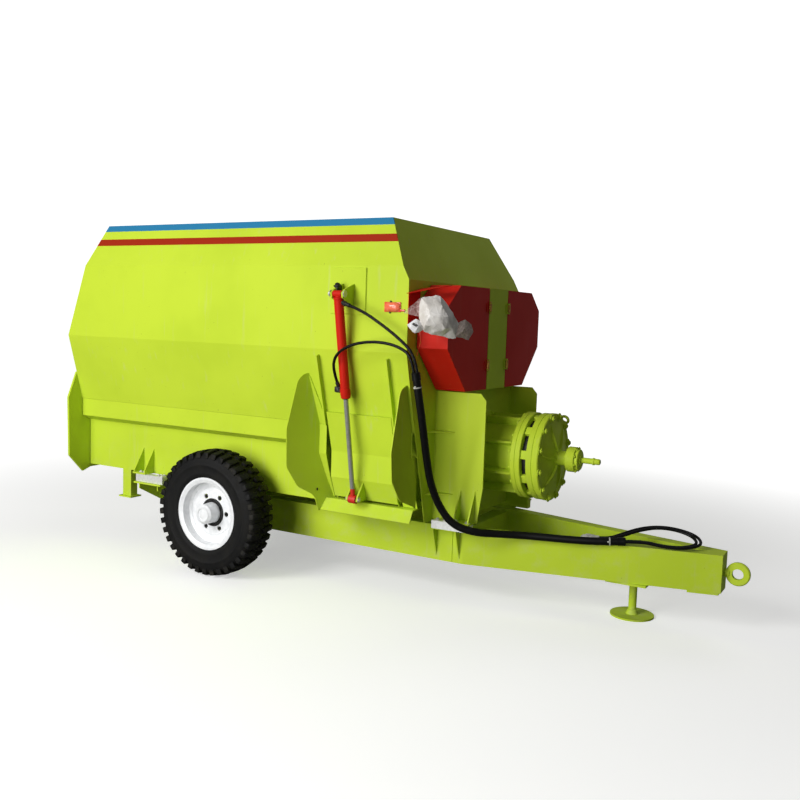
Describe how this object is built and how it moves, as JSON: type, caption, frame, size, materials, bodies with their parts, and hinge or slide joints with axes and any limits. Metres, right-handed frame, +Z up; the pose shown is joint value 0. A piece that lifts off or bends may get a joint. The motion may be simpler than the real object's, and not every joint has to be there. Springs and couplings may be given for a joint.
{
  "type": "feed mixer wagon",
  "caption": "Towed feed mixer wagon with a folded open tub, main and upper augers, side discharge door, chute, drawbar and jack.",
  "frame": {"origin": "on the ground, at the middle of the wagon's length and width", "axes": "+X forward to the drawbar, +Y to the wagon's left, +Z up"},
  "size_m": [4.54, 1.8131, 2.246],
  "materials": {
    "green_paint": "gloss",
    "tyre_rubber": "matte",
    "silver_paint": "satin",
    "cell_plate": "satin",
    "red_paint": "gloss",
    "chrome_rod": "polished",
    "hose_rubber": "satin",
    "bag_film": "crumpled film",
    "lamp_red": "gloss",
    "auger_paint": "gloss",
    "bare_steel": "worn"
  },
  "bodies": {
    "wagon": {"chassis_beam_right": "green_paint", "chassis_beam_left": "green_paint", "rear_crossmember": "green_paint", "front_crossmember": "green_paint", "axle_beam": "green_paint", "drawbar_nose": "green_paint", "jack_bracket": "green_paint", "load_cell_front_right": "cell_plate", "load_cell_front_left": "cell_plate", "load_cell_rear_right": "cell_plate", "load_cell_rear_left": "cell_plate", "tub_side_right": "green_paint", "tub_side_left": "green_paint", "tub_trough": "green_paint", "tub_front_wall": "green_paint", "tub_rear_wall": "green_paint", "side_skirt_right": "green_paint", "side_skirt_left": "green_paint", "chute_cheek_rear": "green_paint", "chute_cheek_front": "green_paint", "chute_floor": "green_paint", "cylinder_bracket": "green_paint", "drive_case": "green_paint", "gearbox_housing": "green_paint", "gear_cage": "green_paint", "gearbox_cover": "green_paint", "hinge_post": "green_paint", "side_lamp": "lamp_red", "hose_sleeve": "hose_rubber", "hose_loop_outer": "hose_rubber", "hose_loop_inner": "hose_rubber", "hose_coupler_outer": "bare_steel", "hose_coupler_inner": "bare_steel"},
    "wheel_right": {"tyre_right": "tyre_rubber", "rim_right": "silver_paint"},
    "wheel_left": {"tyre_left": "tyre_rubber", "rim_left": "silver_paint"},
    "discharge_door": {"discharge_door": "green_paint"},
    "cylinder_barrel": {"cylinder_barrel": "red_paint", "hose_upper": "hose_rubber", "hose_lower": "hose_rubber"},
    "cylinder_rod": {"cylinder_rod": "chrome_rod"},
    "chain_cover_right": {"chain_cover_right": "red_paint", "indicator_hood": "red_paint", "dust_bag": "bag_film"},
    "chain_cover_left": {"chain_cover_left": "red_paint"},
    "main_auger": {"main_auger": "auger_paint"},
    "upper_auger_right": {"upper_auger_right": "auger_paint"},
    "upper_auger_left": {"upper_auger_left": "auger_paint"},
    "input_shaft": {"input_shaft": "bare_steel"},
    "jack_leg": {"jack_leg": "green_paint"},
    "tow_eye": {"tow_eye": "green_paint"}
  },
  "joints": [
    {"name": "wheel_right_spin", "type": "hinge", "parent": "wagon", "child": "wheel_right", "pos_m": [-0.85, -0.79, 0.4025], "axis": [0, 1, 0], "continuous": true},
    {"name": "wheel_left_spin", "type": "hinge", "parent": "wagon", "child": "wheel_left", "pos_m": [-0.85, 0.79, 0.4025], "axis": [0, 1, 0], "continuous": true},
    {"name": "door_slide", "type": "slide", "parent": "wagon", "child": "discharge_door", "axis": [0, -0.2638, 0.9646], "range_m": [0, 0.42]},
    {"name": "barrel_swing", "type": "hinge", "parent": "wagon", "child": "cylinder_barrel", "pos_m": [0.118, -0.885, 1.8], "axis": [1, 0, 0], "range_deg": [-2.8, 0]},
    {"name": "rod_slide", "type": "slide", "parent": "cylinder_barrel", "child": "cylinder_rod", "axis": [0, -0.1765, 0.9843], "range_m": [0, 0.42]},
    {"name": "cover_right_hinge", "type": "hinge", "parent": "wagon", "child": "chain_cover_right", "pos_m": [0.7205, -0.141, 1.566], "axis": [0, 0, 1], "range_deg": [0, 95]},
    {"name": "cover_left_hinge", "type": "hinge", "parent": "wagon", "child": "chain_cover_left", "pos_m": [0.7205, 0.141, 1.566], "axis": [0, 0, -1], "range_deg": [0, 95]},
    {"name": "main_auger_spin", "type": "hinge", "parent": "wagon", "child": "main_auger", "pos_m": [0, 0, 0.872], "axis": [1, 0, 0], "continuous": true},
    {"name": "upper_auger_right_spin", "type": "hinge", "parent": "wagon", "child": "upper_auger_right", "pos_m": [0, -0.43, 1.63], "axis": [1, 0, 0], "continuous": true},
    {"name": "upper_auger_left_spin", "type": "hinge", "parent": "wagon", "child": "upper_auger_left", "pos_m": [0, 0.43, 1.63], "axis": [1, 0, 0], "continuous": true},
    {"name": "input_shaft_spin", "type": "hinge", "parent": "wagon", "child": "input_shaft", "pos_m": [1.3, 0, 0.872], "axis": [1, 0, 0], "continuous": true},
    {"name": "jack_slide", "type": "slide", "parent": "wagon", "child": "jack_leg", "axis": [0, 0, 1], "range_m": [0, 0.17]},
    {"name": "tow_eye_swivel", "type": "hinge", "parent": "wagon", "child": "tow_eye", "pos_m": [2.15, 0, 0.341], "axis": [1, 0, 0], "continuous": true}
  ],
  "couplings": [
    {"joint": "barrel_swing", "follows": "door_slide", "rad_per_m": -0.11018},
    {"joint": "rod_slide", "follows": "door_slide", "ratio": 0.99392},
    {"joint": "upper_auger_right_spin", "follows": "main_auger_spin", "ratio": 0.8},
    {"joint": "upper_auger_left_spin", "follows": "main_auger_spin", "ratio": 0.8},
    {"joint": "input_shaft_spin", "follows": "main_auger_spin", "ratio": 18}
  ]
}
